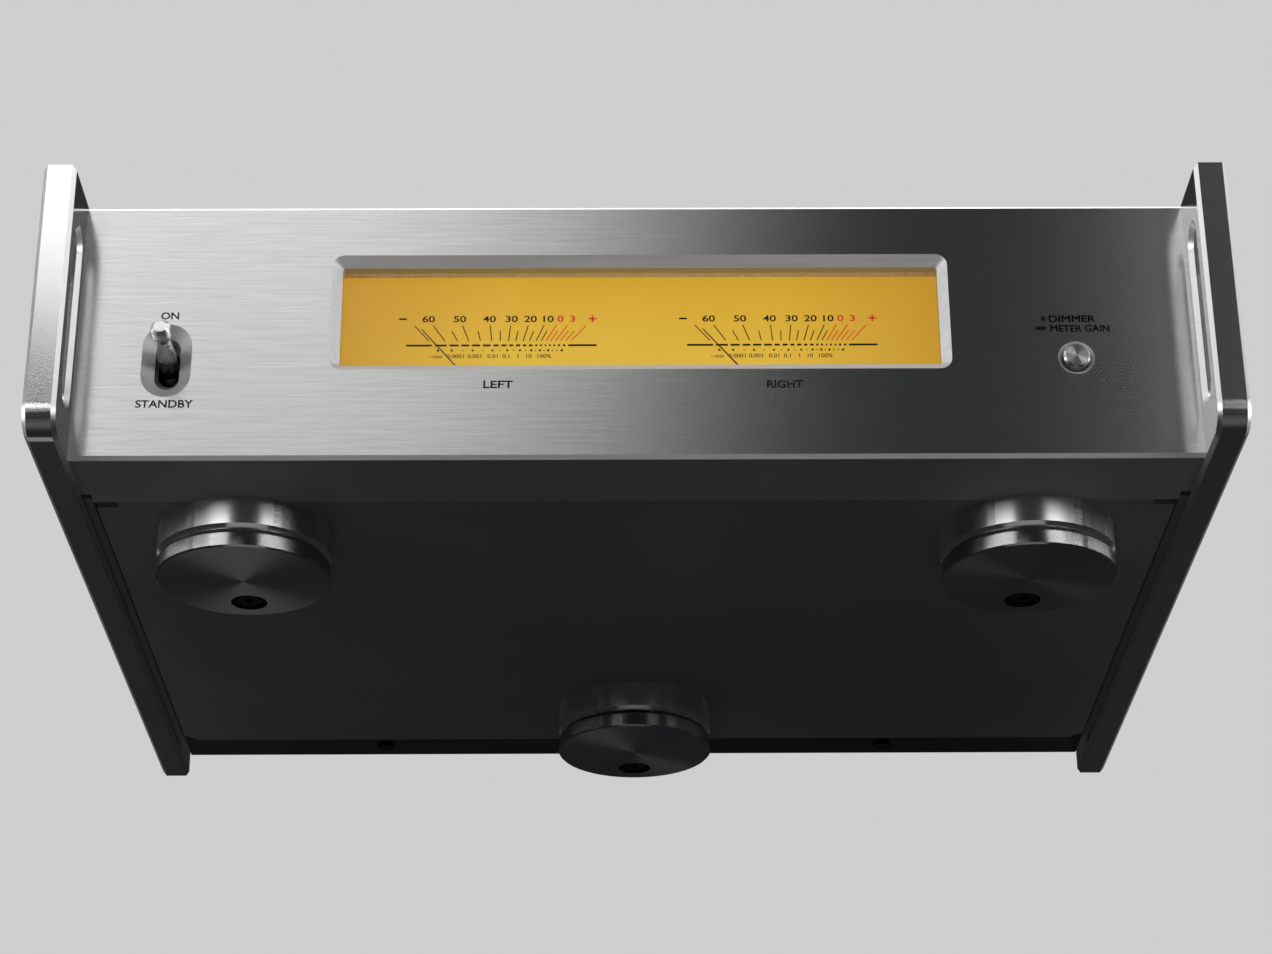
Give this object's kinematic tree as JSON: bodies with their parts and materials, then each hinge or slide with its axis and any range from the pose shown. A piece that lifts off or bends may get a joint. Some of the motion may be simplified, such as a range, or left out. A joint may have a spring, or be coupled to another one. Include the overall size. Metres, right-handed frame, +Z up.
{
  "type": "stereo power amplifier",
  "caption": "Compact desktop stereo power amplifier with aluminium handle side plates, a wide lit window with level meters, a power toggle, a dimmer button and loose-saucer feet.",
  "frame": {"origin": "on the floor under the middle of the bounding box, at the undersides of the foot saucers", "axes": "+X to the right seen from the front, along the panel; +Y to the rear; +Z up"},
  "size_m": [0.29, 0.2486, 0.0845],
  "materials": {
    "panel_aluminium": "horizontally brushed, clear anodised",
    "plate_aluminium": "bead blasted, clear anodised, bright bevels",
    "dark_cover": "fine satin texture",
    "lid_aluminium": "fine satin",
    "steel": "zinc plated",
    "foot_steel": "spin turned, polished rim",
    "lever_chrome": "polished",
    "window_glass": "clear",
    "amber_dial": "backlit translucent, printed scales",
    "black_plastic": "fine moulded texture",
    "needle_black": "matt",
    "board": "solder mask",
    "heat_aluminium": "extruded",
    "coil_wrap": "wound tape over a steel and copper core",
    "rubber": "matt",
    "can_sleeve": "heat-shrunk sleeve",
    "brass": "gold plated",
    "cap_plastic": "tinted grip over a plated core"
  },
  "bodies": {
    "chassis": {"front_panel": "panel_aluminium", "side_plate_left": "plate_aluminium", "side_plate_right": "plate_aluminium", "bottom_cover": "dark_cover", "side_rails": "dark_cover", "rear_panel": "dark_cover", "top_cover": "lid_aluminium", "meter_movements": "steel", "toggle_pin": "steel", "foot_spikes": "steel", "foot_nuts": "steel", "foot_keepers": "steel", "clamp_dish": "steel", "transformer_bolt": "steel", "pan_head_screws": "steel", "board_standoffs": "steel", "foot_discs": "foot_steel", "window_glass": "window_glass", "dial_plate": "amber_dial", "meter_housing": "black_plastic", "toggle_guard": "black_plastic", "toggle_body": "black_plastic", "button_body": "black_plastic", "mains_inlet": "black_plastic", "balanced_shells": "black_plastic", "balanced_inserts": "black_plastic", "input_selector": "black_plastic", "trigger_jack": "black_plastic", "post_collars": "black_plastic", "led_board": "board", "front_board": "board", "psu_board": "board", "amp_board_left": "board", "amp_board_right": "board", "input_board": "board", "heat_spreaders": "heat_aluminium", "transformer": "coil_wrap", "transformer_pads": "rubber", "supply_capacitors": "can_sleeve", "inlet_blades": "brass", "phono_sockets": "brass", "post_studs": "brass"},
    "power_lever": {"power_lever": "lever_chrome"},
    "dimmer_button": {"dimmer_button": "lever_chrome"},
    "needle_left": {"needle_left": "needle_black"},
    "needle_right": {"needle_right": "needle_black"},
    "saucer_front_left": {"saucer_front_left": "foot_steel"},
    "saucer_front_right": {"saucer_front_right": "foot_steel"},
    "saucer_rear": {"saucer_rear": "foot_steel"},
    "latch_tab_left": {"latch_tab_left": "steel"},
    "latch_tab_right": {"latch_tab_right": "steel"},
    "selector_slider": {"selector_slider": "black_plastic"},
    "clamp_ring_1": {"clamp_ring_1": "brass"},
    "clamp_ring_2": {"clamp_ring_2": "brass"},
    "clamp_ring_3": {"clamp_ring_3": "brass"},
    "clamp_ring_4": {"clamp_ring_4": "brass"},
    "post_cap_1": {"post_cap_1": "cap_plastic"},
    "post_cap_2": {"post_cap_2": "cap_plastic"},
    "post_cap_3": {"post_cap_3": "cap_plastic"},
    "post_cap_4": {"post_cap_4": "cap_plastic"}
  },
  "joints": [
    {"name": "power_toggle", "type": "hinge", "parent": "chassis", "child": "power_lever", "pos_m": [-0.1148, -0.09625, 0.0401], "axis": [1, 0, 0], "range_deg": [0, 15]},
    {"name": "dimmer_press", "type": "slide", "parent": "chassis", "child": "dimmer_button", "axis": [0, 1, 0], "range_m": [0, 0.0012], "stiffness_N_per_m": 400, "springref_m": -0.002},
    {"name": "needle_swing_left", "type": "hinge", "parent": "chassis", "child": "needle_left", "pos_m": [-0.0339, -0.09625, 0.0298], "axis": [0, 1, 0], "range_deg": [0, 81], "stiffness_Nm_per_rad": 0.0002, "springref_deg": -17.19},
    {"name": "needle_swing_right", "type": "hinge", "parent": "chassis", "child": "needle_right", "pos_m": [0.036, -0.09625, 0.0298], "axis": [0, 1, 0], "range_deg": [0, 81], "stiffness_Nm_per_rad": 0.0002, "springref_deg": -17.19},
    {"name": "saucer_float_front_left", "type": "slide", "parent": "chassis", "child": "saucer_front_left", "axis": [0, 0, -1], "range_m": [0, 0.0008]},
    {"name": "saucer_float_front_right", "type": "slide", "parent": "chassis", "child": "saucer_front_right", "axis": [0, 0, -1], "range_m": [0, 0.0008]},
    {"name": "saucer_float_rear", "type": "slide", "parent": "chassis", "child": "saucer_rear", "axis": [0, 0, -1], "range_m": [0, 0.0008]},
    {"name": "latch_press_left", "type": "slide", "parent": "chassis", "child": "latch_tab_left", "axis": [0, -1, 0], "range_m": [0, 0.0015], "stiffness_N_per_m": 600, "springref_m": -0.001},
    {"name": "latch_press_right", "type": "slide", "parent": "chassis", "child": "latch_tab_right", "axis": [0, -1, 0], "range_m": [0, 0.0015], "stiffness_N_per_m": 600, "springref_m": -0.001},
    {"name": "selector_slide", "type": "slide", "parent": "chassis", "child": "selector_slider", "axis": [1, 0, 0], "range_m": [0, 0.005]},
    {"name": "ring_travel_1", "type": "slide", "parent": "chassis", "child": "clamp_ring_1", "axis": [0, 1, 0], "range_m": [0, 0.0045]},
    {"name": "cap_screw_1", "type": "hinge", "parent": "clamp_ring_1", "child": "post_cap_1", "pos_m": [-0.062, 0.115, 0.052], "axis": [0, 1, 0], "range_deg": [0, 1080]},
    {"name": "ring_travel_2", "type": "slide", "parent": "chassis", "child": "clamp_ring_2", "axis": [0, 1, 0], "range_m": [0, 0.0045]},
    {"name": "cap_screw_2", "type": "hinge", "parent": "clamp_ring_2", "child": "post_cap_2", "pos_m": [-0.043, 0.115, 0.052], "axis": [0, 1, 0], "range_deg": [0, 1080]},
    {"name": "ring_travel_3", "type": "slide", "parent": "chassis", "child": "clamp_ring_3", "axis": [0, 1, 0], "range_m": [0, 0.0045]},
    {"name": "cap_screw_3", "type": "hinge", "parent": "clamp_ring_3", "child": "post_cap_3", "pos_m": [-0.009, 0.115, 0.052], "axis": [0, 1, 0], "range_deg": [0, 1080]},
    {"name": "ring_travel_4", "type": "slide", "parent": "chassis", "child": "clamp_ring_4", "axis": [0, 1, 0], "range_m": [0, 0.0045]},
    {"name": "cap_screw_4", "type": "hinge", "parent": "clamp_ring_4", "child": "post_cap_4", "pos_m": [0.01, 0.115, 0.052], "axis": [0, 1, 0], "range_deg": [0, 1080]}
  ],
  "couplings": [
    {"joint": "cap_screw_1", "follows": "ring_travel_1", "rad_per_m": 4188},
    {"joint": "cap_screw_2", "follows": "ring_travel_2", "rad_per_m": 4188},
    {"joint": "cap_screw_3", "follows": "ring_travel_3", "rad_per_m": 4188},
    {"joint": "cap_screw_4", "follows": "ring_travel_4", "rad_per_m": 4188}
  ]
}
